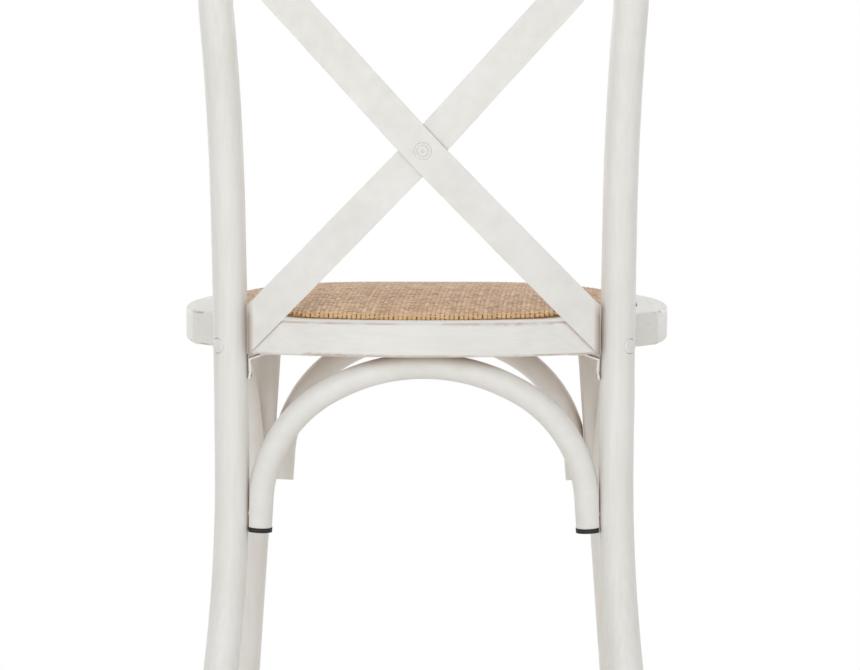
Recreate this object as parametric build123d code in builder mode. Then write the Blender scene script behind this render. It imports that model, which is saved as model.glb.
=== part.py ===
from build123d import *
import os
from math import acos, atan2, cos, degrees, hypot, radians, sin, sqrt

# Cross-back dining chair: a bent rod back, a woven seat in a painted frame, crossed flat straps
# and arched rod braces between the legs.
# Millimetres. +Z is up, the sitter faces -Y and has +X on the left, and the origin is on the floor
# under the middle of the chair.

os.makedirs("parts", exist_ok=True)

# Overall sizes
back_height = 885.0
seat_height = 452.0
seat_frame_thickness = 33.0
seat_width = 481.0
seat_depth = 447.0

# Rear frame: one rod bent into both rear legs, both posts and the crest
# On each side: the post in from the seat's side, the other places in or out from the post
post_diameter = 33.0
post_inset = 56.0
foot_spread = 20.0
foot_sweep = 85.0
knee_height = 215.0
knee_pinch = 1.5
knee_sweep = 8.0
seat_bend_drop = 22.0
upper_bend_rise = 188.0
upper_bend_spread = 2.25
upper_bend_setback = 16.0
shoulder_spread = 15.5
shoulder_setback = 62.0
crest_rise = 28.0
crest_bow = 16.0
knee_radius = 600.0
seat_bend_radius = 1500.0
upper_bend_radius = 1200.0
shoulder_radius = 110.0
crest_radius = 450.0

# Seat frame, seen from above
rail_setback = 59.0
rail_bow_radius = 390.0
rail_end_inset = 20.0
widest_ahead = 165.0
side_bow_radius = 300.0
front_bow_radius = 432.0
front_corner_radius = 110.0
flat_angle = 50.0
panel_border = 30.0
panel_corner_radius = 40.0
ledge_width = 32.0
rebate_depth = 16.0
seat_edge_radius = 4.0
front_joint_offset = 12.18
dowel_diameter = 8.0
dowel_length = 32.0
dowel_spacing = 18.0
rear_dowel_inset = 36.0
front_dowel_inset = 22.0

# Woven panel and the board under it
board_thickness = 9.0
panel_crown = 16.5
panel_crown_radius = 1520.0
panel_edge_radius = 3.0

# Front legs
front_leg_top_diameter = 34.0
front_leg_foot_diameter = 29.0
front_leg_inset = 69.5
front_leg_splay = 28.0
front_leg_setback = 70.0
front_leg_rake = 18.0
tenon_diameter = 20.0
tenon_length = 13.0

# Arched braces: radii, arch rises and shoulder insets hold at these spans and grow with the span
hoop_diameter = 24.5
hoop_flat_depth = 2.8
hoop_drop = 167.0
rear_hoop_span = 315.4
front_hoop_span = 312.2
side_hoop_span = 282.1
rear_arch_rise = 53.9
front_arch_rise = 54.0
side_arch_rise = 53.4
hoop_shoulder_inset = 6.4
hoop_top_radius = 180.0
hoop_shoulder_radius = 128.0
side_hoop_top_radius = 138.0
hoop_top_inset = 46.5
side_hoop_top_inset = 47.0
hoop_dowel_diameter = 6.0
hoop_dowel_length = 18.0
hoop_dowel_depth = 7.0
hoop_dowel_rise = 12.0
cap_diameter = 25.5
cap_thickness = 4.5

# Crossed straps
strap_width = 33.5
strap_thickness = 3.0
strap_cross_rise = 161.0
strap_foot_drop = 7.7
strap_top_share = 0.4192
strap_return = 16.0
strap_mortise_depth = 9.0
strap_lower_margin = 0.5

# Bolts, nuts, brackets and screws
bolt_diameter = 6.0
cross_head_diameter = 16.0
cross_head_rim = 1.6
cross_boss_diameter = 10.5
cross_boss_height = 1.8
cross_dimple_diameter = 3.0
cross_dimple_depth = 0.8
cap_nut_diameter = 13.0
cap_nut_height = 5.5
cap_nut_edge = 2.5
post_bolt_angle = 45.0
post_bolt_drop = 26.0
post_head_diameter = 14.7
post_head_height = 3.6
post_head_edge = 2.6
post_head_sink = 2.7
barrel_nut_diameter = 10.0
barrel_nut_height = 18.0
barrel_nut_depth = 55.0
bolt_tail = 8.0
bracket_thickness = 2.0
bracket_width = 18.0
# Places along a bracket: inwards from the post's centre, and down from the seat frame's underside
bracket_rail_start = 47.0
bracket_rail_end = 33.0
bracket_corner = 17.2
bracket_drop = 5.4
bracket_knee_drop = 17.0
bracket_tail_drop = 25.0
bracket_bow = 1.5
screw_diameter = 3.5
screw_head_diameter = 6.5
screw_head_height = 1.5
short_screw_length = 14.0
board_screw_length = 22.0
board_screw_inset = 46.0
board_screw_rear_x = 70.0
board_screw_front_x = 90.0
board_screw_side_ahead = 205.0
pin_diameter = 3.0
pin_length = 20.0
pin_end_distance = 4.0

# Foot glides
glide_diameter = 22.0
glide_height = 5.0
glide_edge = 1.5
glide_nail_diameter = 3.0
glide_nail_length = 14.0

# Clearances
contact_gap = 0.1
rod_gap = 0.6
strap_pass_gap = 0.8
hole_clearance = 0.1
panel_clearance = 0.5

# Derived heights and places
post_radius = post_diameter / 2
hoop_radius = hoop_diameter / 2
seat_underside = seat_height - seat_frame_thickness
ledge_height = seat_height - rebate_depth
board_top = ledge_height + board_thickness
shoulder_height = back_height - post_radius - crest_rise
knee_slope = (foot_sweep - knee_sweep) / knee_height
rear_reach = foot_sweep - knee_slope * glide_height + post_radius * hypot(1, knee_slope)
front_reach = seat_depth - rail_setback
post_y = (front_reach - rear_reach) / 2
rear_edge_y = post_y + rail_setback
front_edge_y = post_y - front_reach
widest_y = post_y - widest_ahead
half_width = seat_width / 2
half_post = half_width - post_inset
half_foot = half_post + foot_spread
half_knee = half_post - knee_pinch
half_upper_bend = half_post + upper_bend_spread
half_shoulder = half_post + shoulder_spread
rail_end_x = half_post - rail_end_inset
front_leg_ahead = front_reach - front_leg_setback
seat_bend_height = seat_height - seat_bend_drop
upper_bend_height = seat_height + upper_bend_rise
hoop_end_height = seat_underside - hoop_drop
post_bolt_height = seat_height - post_bolt_drop
strap_cross_height = seat_height + strap_cross_rise
strap_foot_height = seat_height - strap_foot_drop


def rail_face_y(x):
    """Y of the bowed rear face of the seat at a distance x from the middle."""
    return rear_edge_y - rail_bow_radius + sqrt(rail_bow_radius**2 - x**2)


def front_face_y(x):
    """Y of the bowed front face of the seat at a distance x from the middle."""
    return front_edge_y + front_bow_radius - sqrt(front_bow_radius**2 - x**2)


def reach_to_circle(start, along, centre, radius):
    """Distance from a start inside a circle, along a direction, to the circle."""
    offset_from_centre = start - centre
    along_part = offset_from_centre.dot(along)
    return sqrt(along_part**2 - offset_from_centre.length**2 + radius**2) - along_part


def arch_corner(half_span, rise, radius):
    """Height of the sharp corner whose rounding by the radius leaves the given rise."""
    spare = radius - rise
    square_term = 1 - (radius / half_span) ** 2
    constant_term = spare**2 - radius**2
    root = sqrt(spare**2 - square_term * constant_term)
    return (root - spare) / square_term


# Diagonal flats at the rear corners of the seat, tangent to the posts
flat_along = Vector(cos(radians(flat_angle)), -sin(radians(flat_angle)))
flat_outward = Vector(sin(radians(flat_angle)), cos(radians(flat_angle)))
flat_touch = Vector(half_post, post_y) - flat_outward * (post_radius + contact_gap)


def flat_y(x):
    """Y of the left diagonal flat at a distance x from the middle."""
    return flat_touch.Y + (x - flat_touch.X) * flat_along.Y / flat_along.X


def bowed_outline(inset):
    """The four bowed sides of the seat from above, moved in by the inset, with rounded front corners."""
    side_bow_x = half_width - side_bow_radius
    with BuildSketch() as outline:
        with Locations((0, rear_edge_y - rail_bow_radius)):
            Circle(rail_bow_radius - inset)
        with Locations((0, front_edge_y + front_bow_radius)):
            Circle(front_bow_radius - inset, mode=Mode.INTERSECT)
        with Locations((side_bow_x, widest_y)):
            Circle(side_bow_radius - inset, mode=Mode.INTERSECT)
        with Locations((-side_bow_x, widest_y)):
            Circle(side_bow_radius - inset, mode=Mode.INTERSECT)
        fillet(outline.vertices().sort_by(Axis.Y)[:2], radius=front_corner_radius - inset)
    return outline.sketch


def seat_outline(inset):
    """The bowed outline with its rear corners cut off along the flats."""
    flat_middle = flat_touch - flat_outward * inset
    along = flat_along * seat_width
    outward = flat_outward * seat_width
    beyond = [
        flat_middle - along,
        flat_middle + along,
        flat_middle + along + outward,
        flat_middle - along + outward,
    ]
    bowed = bowed_outline(inset)
    with BuildSketch() as outline:
        add(bowed)
        Polygon(*[(p.X, p.Y) for p in beyond], align=None, mode=Mode.SUBTRACT)
        Polygon(*[(-p.X, p.Y) for p in beyond], align=None, mode=Mode.SUBTRACT)
    return outline.sketch


def panel_outline(inset):
    """The seat's outline moved in by the inset, with its rear corners rounded too."""
    cornered = seat_outline(inset)
    with BuildSketch() as outline:
        add(cornered)
        fillet(outline.vertices().sort_by(Axis.Y)[-2:], radius=panel_corner_radius)
    return outline.sketch


# The rear rail keeps its full length behind the flats
rail_end_y = flat_y(rail_end_x)
rail_outline = bowed_outline(0)
flat_outline = seat_outline(0)
with BuildSketch() as frame_plan:
    with Locations((0, rail_end_y)):
        Rectangle(2 * rail_end_x, seat_depth, align=(Align.CENTER, Align.MIN))
    add(rail_outline, mode=Mode.INTERSECT)
    add(flat_outline)
rebate_plan = panel_outline(panel_border)
opening_plan = panel_outline(panel_border + ledge_width)
board_plan = panel_outline(panel_border + panel_clearance)


# Route of the rear frame's rod, from the left foot over the crest to the right foot
shoulder_y = post_y + shoulder_setback
crest_tilt = atan2(crest_bow, crest_rise)
crest_in_plane = crest_rise / cos(crest_tilt)
crest_corner = arch_corner(half_shoulder, crest_in_plane, crest_radius)
below_floor = post_radius
foot_width_slope = (half_foot - half_knee) / knee_height
left_route = [
    Vector(
        half_foot + foot_width_slope * below_floor,
        post_y + foot_sweep + knee_slope * below_floor,
        -below_floor,
    ),
    Vector(half_knee, post_y + knee_sweep, knee_height),
    Vector(half_post, post_y, seat_bend_height),
    Vector(half_upper_bend, post_y + upper_bend_setback, upper_bend_height),
    Vector(half_shoulder, shoulder_y, shoulder_height),
]
crest_point = Vector(
    0,
    shoulder_y + crest_corner * sin(crest_tilt),
    shoulder_height + crest_corner * cos(crest_tilt),
)
right_route = [Vector(-p.X, p.Y, p.Z) for p in reversed(left_route)]
left_radii = [knee_radius, seat_bend_radius, upper_bend_radius, shoulder_radius]
with BuildLine() as rear_route:
    FilletPolyline(
        *left_route,
        crest_point,
        *right_route,
        radius=[*left_radii, crest_radius, *reversed(left_radii)],
    )
rear_wire = rear_route.wires()[0]
bisection_steps = 40


def rod_centre(height):
    """Centre of the left half of the rear frame's rod at a height."""
    low = 0.0
    high = 0.5
    for _ in range(bisection_steps):
        middle = (low + high) / 2
        if rear_wire.position_at(middle).Z < height:
            low = middle
        else:
            high = middle
    return rear_wire.position_at(low)


def mirrored(point):
    """The same point on the other side of the chair."""
    return Vector(-point.X, point.Y, point.Z)


def both_sides(plane):
    """A plane on the left side and its mirror image on the right."""
    return [plane, Plane(mirrored(plane.origin), z_dir=mirrored(plane.z_dir))]


def front_leg_centre(height):
    """Centre of the left front leg at a height."""
    share = (seat_underside - height) / seat_underside
    across = half_width - front_leg_inset + front_leg_splay * share
    ahead = front_leg_ahead + front_leg_rake * share
    return Vector(across, post_y - ahead, height)


def front_leg_radius(height):
    """Radius of the tapered front leg at a height."""
    share = (seat_underside - height) / seat_underside
    return (front_leg_top_diameter + (front_leg_foot_diameter - front_leg_top_diameter) * share) / 2


# Planes, end places and tops of the four arched braces
hoop_top_z = seat_underside - hoop_radius - contact_gap
hoop_top_y_rear = rear_edge_y - hoop_top_inset
hoop_top_y_front = front_edge_y + hoop_top_inset
rear_leg_at_hoop = rod_centre(hoop_end_height)
front_leg_at_hoop = front_leg_centre(hoop_end_height)
front_radius_at_hoop = front_leg_radius(hoop_end_height)
flat_reach = hoop_radius - hoop_flat_depth
beside_rear = post_radius + rod_gap + flat_reach
beside_front = front_radius_at_hoop + rod_gap + flat_reach
rear_leg_along = (rod_centre(hoop_end_height + 2 * hoop_dowel_rise) - rear_leg_at_hoop).normalized()
front_leg_along = (front_leg_centre(seat_underside) - front_leg_at_hoop).normalized()


class Hoop:
    """An arched brace between two legs, whose arch keeps its form whatever the span."""

    def __init__(self, ends, legs_along, top, usual_span, arch_rise, top_radius):
        first_end, second_end = ends
        middle = (first_end + second_end) * 0.5
        span = second_end - first_end
        up = top - middle
        growth = span.length / usual_span
        self.half_span = span.length / 2
        self.top = top
        self.shoulder_rise = up.length - arch_rise * growth
        self.shoulder_inset = hoop_shoulder_inset * growth
        self.plane = Plane(middle, x_dir=span.normalized(), z_dir=span.cross(up).normalized())
        shoulder = self.half_span - self.shoulder_inset
        apex_rise = arch_corner(shoulder, arch_rise * growth, top_radius * growth)
        self.points = [
            (-self.half_span, 0),
            (-shoulder, self.shoulder_rise),
            (0, self.shoulder_rise + apex_rise),
            (shoulder, self.shoulder_rise),
            (self.half_span, 0),
        ]
        radii = [hoop_shoulder_radius, top_radius, hoop_shoulder_radius]
        self.radii = [radius * growth for radius in radii]
        self.flats = []
        for end, along, side in zip(ends, legs_along, (-1, 1)):
            outward = self.plane.x_dir * side
            facing = (outward - along * outward.dot(along)).normalized()
            self.flats.append(Plane(end + outward * flat_reach, z_dir=facing))


rear_hoop_end = Vector(rear_leg_at_hoop.X - beside_rear, rear_leg_at_hoop.Y, hoop_end_height)
front_hoop_end = Vector(front_leg_at_hoop.X - beside_front, front_leg_at_hoop.Y, hoop_end_height)
side_hoop_rear_end = Vector(rear_leg_at_hoop.X, rear_leg_at_hoop.Y - beside_rear, hoop_end_height)
side_hoop_front_end = Vector(front_leg_at_hoop.X, front_leg_at_hoop.Y + beside_front, hoop_end_height)
side_hoop_middle_y = (side_hoop_rear_end.Y + side_hoop_front_end.Y) / 2
side_hoop_top = Vector(half_width - side_hoop_top_inset, side_hoop_middle_y, hoop_top_z)
hoops = {
    "rear_hoop": Hoop(
        (mirrored(rear_hoop_end), rear_hoop_end),
        (mirrored(rear_leg_along), rear_leg_along),
        Vector(0, hoop_top_y_rear, hoop_top_z),
        rear_hoop_span,
        rear_arch_rise,
        hoop_top_radius,
    ),
    "front_hoop": Hoop(
        (mirrored(front_hoop_end), front_hoop_end),
        (mirrored(front_leg_along), front_leg_along),
        Vector(0, hoop_top_y_front, hoop_top_z),
        front_hoop_span,
        front_arch_rise,
        hoop_top_radius,
    ),
    "side_hoop_left": Hoop(
        (side_hoop_rear_end, side_hoop_front_end),
        (rear_leg_along, front_leg_along),
        side_hoop_top,
        side_hoop_span,
        side_arch_rise,
        side_hoop_top_radius,
    ),
}

# Blind dowels of the braces: each plane lies at the bottom of a dowel's hole in the brace
hoop_dowel_start = hoop_radius - hoop_dowel_depth


def leg_dowel_planes(hoop):
    """Planes of the two dowels that go from a brace's ends straight out into the legs."""
    planes = []
    inward = hoop.shoulder_inset * hoop_dowel_rise / hoop.shoulder_rise
    for side in (-1, 1):
        centre_x = side * (hoop.half_span - inward)
        centre = hoop.plane.from_local_coords(Vector(centre_x, hoop_dowel_rise))
        across = hoop.plane.x_dir * side * hoop.shoulder_rise
        outward = (across + hoop.plane.y_dir * hoop.shoulder_inset).normalized()
        planes.append(Plane(centre + outward * hoop_dowel_start, z_dir=outward))
    return planes


def top_dowel_plane(hoop):
    """Plane of the upright dowel from a brace's top into the seat frame."""
    return Plane(hoop.top + Vector(0, 0, hoop_dowel_start), z_dir=(0, 0, 1))


end_hoops = [hoops["rear_hoop"], hoops["front_hoop"]]
side_hoop = hoops["side_hoop_left"]
hoop_leg_planes = [p for hoop in end_hoops for p in leg_dowel_planes(hoop)]
for plane in leg_dowel_planes(side_hoop):
    hoop_leg_planes += both_sides(plane)
hoop_top_planes = [top_dowel_plane(hoop) for hoop in end_hoops]
hoop_top_planes += both_sides(top_dowel_plane(side_hoop))

# Screws: each plane lies where the flush head shows, and points along the shank
bracket_y = rod_centre(seat_underside - bracket_drop).Y
bracket_x = half_post
bracket_rail_x = bracket_x - (bracket_rail_start + bracket_rail_end) / 2
bracket_screw_z = seat_underside - (bracket_knee_drop + bracket_tail_drop) / 2
bracket_post_x = rod_centre(bracket_screw_z).X - post_radius
bracket_rail_seat = Plane(
    (bracket_rail_x, bracket_y, seat_underside - contact_gap - bracket_thickness), z_dir=(0, 0, 1)
)
bracket_post_seat = Plane(
    (bracket_post_x - contact_gap - bracket_bow - bracket_thickness, bracket_y, bracket_screw_z),
    z_dir=(1, 0, 0),
)
bracket_screw_planes = both_sides(bracket_rail_seat) + both_sides(bracket_post_seat)

board_screw_points = [
    (board_screw_rear_x, rail_face_y(board_screw_rear_x) - board_screw_inset),
    (half_width - board_screw_inset, post_y - board_screw_side_ahead),
    (board_screw_front_x, front_face_y(board_screw_front_x) + board_screw_inset),
]
board_screw_planes = []
for x, y in board_screw_points:
    board_screw_planes += both_sides(Plane((x, y, seat_underside), z_dir=(0, 0, 1)))

strap_screw_y = rail_face_y(rail_end_x) - strap_return / 2
strap_screw_seat = Plane(
    (rail_end_x + contact_gap + strap_thickness, strap_screw_y, seat_underside + seat_frame_thickness / 2),
    z_dir=(-1, 0, 0),
)
strap_screw_planes = both_sides(strap_screw_seat)

# Post bolts: seat of the left head on the post, pointing into the seat frame
post_at_bolt = rod_centre(post_bolt_height)
bolt_inward = Vector(-sin(radians(post_bolt_angle)), -cos(radians(post_bolt_angle)), 0)
post_bolt_seat = Plane(post_at_bolt - bolt_inward * (post_radius - post_head_sink), z_dir=bolt_inward)
post_bolt_planes = both_sides(post_bolt_seat)
barrel_nut_centre = post_bolt_seat.origin + bolt_inward * barrel_nut_depth
barrel_nut_centres = [barrel_nut_centre, mirrored(barrel_nut_centre)]

# Joints of the seat frame: square to the flats at the rear, radial at the front
rear_joint_inner = flat_outward * -(panel_border + ledge_width + panel_corner_radius)
rear_joint_foot = Vector(rail_end_x, rail_end_y)
seat_middle = Vector(0, widest_y)
front_leg_angle = atan2(half_width - front_leg_inset, front_leg_ahead - widest_ahead)
front_joint_turn = front_leg_angle - radians(front_joint_offset)
front_joint_along = Vector(sin(front_joint_turn), -cos(front_joint_turn))
front_joint_across = Vector(cos(front_joint_turn), sin(front_joint_turn))
dowel_height = (seat_underside + ledge_height) / 2
front_bow_centre = Vector(0, front_edge_y + front_bow_radius)
front_joint_reach = reach_to_circle(seat_middle, front_joint_along, front_bow_centre, front_bow_radius)
dowel_planes = []
for step in range(2):
    rear_dowel = rear_joint_foot - flat_outward * (rear_dowel_inset + step * dowel_spacing)
    front_dowel_reach = front_joint_reach - front_dowel_inset - step * dowel_spacing
    front_dowel = seat_middle + front_joint_along * front_dowel_reach
    for centre, along in ((rear_dowel, flat_along), (front_dowel, front_joint_across)):
        start = centre - along * (dowel_length / 2)
        dowel_planes += both_sides(Plane((start.X, start.Y, dowel_height), z_dir=(along.X, along.Y, 0)))

# Crossed straps: from the rounded shoulder of the rear frame over the crossing to the rail's end
shoulder_arc = min(
    rear_wire.edges().filter_by(GeomType.CIRCLE),
    key=lambda arc: (arc.position_at(0.5) - left_route[-1]).length,
)
strap_top_point = shoulder_arc.position_at(strap_top_share)
strap_upper_slope = degrees(atan2(strap_top_point.X, strap_top_point.Z - strap_cross_height))
strap_lower_slope = degrees(atan2(rail_end_x, strap_cross_height - strap_foot_height))
strap_reach = hypot(strap_top_point.X, strap_top_point.Z - strap_cross_height)
strap_reach += strap_mortise_depth - post_radius

# The inner strap passes in front of the outer one, and both lie on the rail's ends
strap_fronts = {
    "inner": rear_edge_y + contact_gap,
    "outer": rear_edge_y + contact_gap + strap_thickness + strap_pass_gap,
}
strap_sides = {"inner": 1, "outer": -1}
strap_end_x = rail_end_x + contact_gap
strap_end_y = rail_face_y(rail_end_x) + contact_gap


def strap_solid(name, grow):
    """One strap, bent on upright lines and cut slantwise; grow widens it all round for its mortise."""
    side = strap_sides[name]
    middle_y = strap_fronts[name] - grow
    sagitta = middle_y - strap_end_y
    bow_radius = (strap_end_x**2 + sagitta**2) / (2 * sagitta)
    half_turn = acos(1 - sagitta / bow_radius) / 2
    bow_middle = (
        side * bow_radius * sin(half_turn),
        middle_y - bow_radius * (1 - cos(half_turn)),
    )
    lower_end = (side * strap_end_x, strap_end_y)
    return_tip = (side * strap_end_x, strap_end_y - strap_return)
    far_end = (-side * half_shoulder, strap_top_point.Y - strap_thickness / 2 - grow)
    outer_side = Side.LEFT if side < 0 else Side.RIGHT
    with BuildPart() as strap:
        with BuildSketch(Plane.XY.offset(seat_underside + strap_lower_margin)):
            with BuildLine():
                Line(return_tip, lower_end)
                ThreePointArc(lower_end, bow_middle, (0, middle_y))
                Line((0, middle_y), far_end)
                offset(amount=strap_thickness + 2 * grow, side=outer_side)
            make_face()
        extrude(amount=back_height - seat_underside)
        with BuildSketch(Plane.XZ):
            with Locations((0, strap_cross_height)):
                Circle(strap_width / 2 + grow)
                Rectangle(
                    strap_width + 2 * grow,
                    strap_reach + grow,
                    rotation=side * strap_upper_slope,
                    align=(Align.CENTER, Align.MIN),
                )
                Rectangle(
                    strap_width + 2 * grow,
                    2 * half_shoulder,
                    rotation=side * strap_lower_slope,
                    align=(Align.CENTER, Align.MAX),
                )
        extrude(amount=back_height, both=True, mode=Mode.INTERSECT)
    return strap.part


strap_pin_seats = {}
for name, side in strap_sides.items():
    pin_reach = strap_reach - pin_end_distance
    pin_x = pin_reach * sin(radians(strap_upper_slope))
    pin_z = strap_cross_height + pin_reach * cos(radians(strap_upper_slope))
    pin_back = sqrt(post_radius**2 - (post_radius - strap_mortise_depth + pin_end_distance) ** 2)
    pin_point = (-side * pin_x, strap_top_point.Y + pin_back - hole_clearance, pin_z)
    strap_pin_seats[name] = Plane(pin_point, z_dir=(0, -1, 0))


def flush_screw(seat, length, grow):
    """A countersunk screw flush with the seat plane; grow widens it for its hole."""
    with BuildPart() as screw:
        with BuildSketch(seat):
            Circle(screw_head_diameter / 2 + grow)
        with BuildSketch(seat.offset(screw_head_height)):
            Circle(screw_diameter / 2 + grow)
        loft()
        with BuildSketch(seat):
            Circle(screw_diameter / 2 + grow)
        extrude(amount=length + grow)
    return screw.part


def plain_pin(seat, diameter, length):
    """A plain round pin that starts at the seat plane."""
    with BuildPart() as pin:
        with BuildSketch(seat):
            Circle(diameter / 2)
        extrude(amount=length)
    return pin.part


def bored(seat, diameter, length):
    """The round hole for a pin or shank, with its clearance."""
    return plain_pin(seat, diameter + 2 * hole_clearance, length + hole_clearance)


hoop_leg_holes = [bored(p, hoop_dowel_diameter, hoop_dowel_length) for p in hoop_leg_planes]
hoop_top_holes = [bored(p, hoop_dowel_diameter, hoop_dowel_length) for p in hoop_top_planes]
bracket_holes = [flush_screw(p, short_screw_length, hole_clearance) for p in bracket_screw_planes]
board_holes = [flush_screw(p, board_screw_length, hole_clearance) for p in board_screw_planes]
strap_screw_holes = [flush_screw(p, short_screw_length, hole_clearance) for p in strap_screw_planes]
strap_pin_holes = {n: bored(p, pin_diameter, pin_length) for n, p in strap_pin_seats.items()}
dowel_holes = [bored(p, dowel_diameter, dowel_length) for p in dowel_planes]
post_bolt_length = barrel_nut_depth + bolt_tail
post_bolt_holes = [bored(p, bolt_diameter, post_bolt_length) for p in post_bolt_planes]
barrel_nut_seats = [
    Plane((c.X, c.Y, post_bolt_height - barrel_nut_height / 2), z_dir=(0, 0, 1)) for c in barrel_nut_centres
]
barrel_nut_holes = [bored(p, barrel_nut_diameter, barrel_nut_height) for p in barrel_nut_seats]
strap_mortises = [strap_solid(n, hole_clearance) for n in strap_sides]

rear_foot = rod_centre(glide_height)
front_foot = front_leg_centre(glide_height)
foot_points = {
    "rear_left": rear_foot,
    "rear_right": mirrored(rear_foot),
    "front_left": front_foot,
    "front_right": mirrored(front_foot),
}
nail_seats = {n: Plane((p.X, p.Y, glide_height), z_dir=(0, 0, 1)) for n, p in foot_points.items()}
nail_holes = {n: bored(p, glide_nail_diameter, glide_nail_length) for n, p in nail_seats.items()}

# Rear frame: legs, posts and crest in one bent rod
with BuildPart() as rear_frame:
    with BuildSketch(Plane(rear_wire @ 0, z_dir=rear_wire % 0)):
        Circle(post_radius)
    sweep(path=rear_wire)
    split(bisect_by=Plane.XY.offset(glide_height), keep=Keep.TOP)
    for seat in post_bolt_planes:
        with BuildSketch(seat):
            Circle(post_head_diameter / 2 + hole_clearance)
        extrude(amount=-post_head_height, mode=Mode.SUBTRACT)
    for tool in (
        *strap_mortises,
        *strap_pin_holes.values(),
        *post_bolt_holes,
        *hoop_leg_holes,
        *bracket_holes,
        nail_holes["rear_left"],
        nail_holes["rear_right"],
    ):
        add(tool, mode=Mode.SUBTRACT)
rear_frame.part.label = "rear_frame"
export_step(rear_frame.part, "parts/rear_frame.step")

# Front legs: tapered rods with a round tenon at the top
for side, name in ((1, "left"), (-1, "right")):
    with BuildPart() as front_leg:
        for height in (seat_underside, glide_height):
            centre = front_leg_centre(height)
            with BuildSketch(Plane((side * centre.X, centre.Y, height))):
                Circle(front_leg_radius(height))
        loft()
        top_centre = front_leg_centre(seat_underside)
        with BuildSketch(Plane((side * top_centre.X, top_centre.Y, seat_underside))):
            Circle(tenon_diameter / 2)
        extrude(amount=tenon_length)
        for tool in (*hoop_leg_holes, nail_holes["front_" + name]):
            add(tool, mode=Mode.SUBTRACT)
    front_leg.part.label = "front_leg_" + name
    export_step(front_leg.part, f"parts/front_leg_{name}.step")

# Seat frame as one ring, with its rebate, rounded edges and holes
leg_top = front_leg_centre(seat_underside)
with BuildPart() as seat_ring:
    with BuildSketch(Plane.XY.offset(seat_underside)):
        add(frame_plan.sketch)
        add(opening_plan, mode=Mode.SUBTRACT)
    extrude(amount=seat_frame_thickness)
    with BuildSketch(Plane.XY.offset(ledge_height)):
        add(rebate_plan)
    extrude(amount=rebate_depth, mode=Mode.SUBTRACT)
    seat_top = seat_ring.faces().filter_by(Plane.XY).sort_by(Axis.Z)[-1]
    seat_bottom = seat_ring.faces().filter_by(Plane.XY).sort_by(Axis.Z)[0]
    rounded = seat_top.outer_wire().edges() + seat_bottom.outer_wire().edges()
    fillet(rounded, radius=seat_edge_radius)
    with Locations((leg_top.X, leg_top.Y, seat_underside), (-leg_top.X, leg_top.Y, seat_underside)):
        Cylinder(
            tenon_diameter / 2 + hole_clearance,
            tenon_length + hole_clearance,
            align=(Align.CENTER, Align.CENTER, Align.MIN),
            mode=Mode.SUBTRACT,
        )
    for tool in (
        *post_bolt_holes,
        *barrel_nut_holes,
        *hoop_top_holes,
        *bracket_holes,
        *board_holes,
        *strap_screw_holes,
        *dowel_holes,
    ):
        add(tool, mode=Mode.SUBTRACT)

# Areas that share the ring out between the four rails
area_reach = seat_width
rear_inner = rear_joint_foot + rear_joint_inner
rear_area_points = [
    (rail_end_x, rear_joint_foot.Y),
    (rear_inner.X, rear_inner.Y),
    (-rear_inner.X, rear_inner.Y),
    (-rail_end_x, rear_joint_foot.Y),
    (-rail_end_x, rear_edge_y + post_radius),
    (rail_end_x, rear_edge_y + post_radius),
]
front_outer = seat_middle + front_joint_along * area_reach
front_area_points = [(0, widest_y), (-front_outer.X, front_outer.Y), (front_outer.X, front_outer.Y)]
with BuildSketch() as rear_area:
    Polygon(*rear_area_points, align=None)
with BuildSketch() as front_area:
    Polygon(*front_area_points, align=None)
with BuildSketch() as left_area:
    with Locations((area_reach / 2, widest_y)):
        Rectangle(area_reach, 2 * area_reach)
    add(rear_area.sketch, mode=Mode.SUBTRACT)
    add(front_area.sketch, mode=Mode.SUBTRACT)
rail_areas = {
    "seat_rail_rear": rear_area.sketch,
    "seat_rail_front": front_area.sketch,
    "seat_rail_left": left_area.sketch,
    "seat_rail_right": left_area.sketch.mirror(Plane.YZ),
}
for name, area in rail_areas.items():
    with BuildPart() as seat_rail:
        with BuildSketch(Plane.XY.offset(seat_underside)):
            add(area)
        extrude(amount=seat_frame_thickness)
        add(seat_ring.part, mode=Mode.INTERSECT)
    seat_rail.part.label = name
    export_step(seat_rail.part, f"parts/{name}.step")

# Dowels of the seat frame's four joints
dowels = [plain_pin(p, dowel_diameter, dowel_length) for p in dowel_planes]
with BuildPart() as seat_rail_dowels:
    add(dowels)
seat_rail_dowels.part.label = "seat_rail_dowels"
export_step(seat_rail_dowels.part, "parts/seat_rail_dowels.step")

# Board in the rebate
with BuildPart() as seat_board:
    with BuildSketch(Plane.XY.offset(ledge_height)):
        add(board_plan)
    extrude(amount=board_thickness)
    for tool in board_holes:
        add(tool, mode=Mode.SUBTRACT)
seat_board.part.label = "seat_board"
export_step(seat_board.part, "parts/seat_board.step")

# Woven panel: crowned, with its edge drawn down into the rebate
panel_top = seat_height + panel_crown
panel_middle_y = (rear_edge_y + front_edge_y) / 2
with BuildPart() as rattan_seat:
    with BuildSketch(Plane.XY.offset(board_top)):
        add(board_plan)
    extrude(amount=panel_top - board_top)
    with Locations((0, panel_middle_y, panel_top - panel_crown_radius)):
        Sphere(panel_crown_radius, mode=Mode.INTERSECT)
    crown = rattan_seat.faces().sort_by(Axis.Z)[-1]
    fillet(crown.outer_wire().edges(), radius=panel_edge_radius)
rattan_seat.part.label = "rattan_seat"
export_step(rattan_seat.part, "parts/rattan_seat.step")

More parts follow.
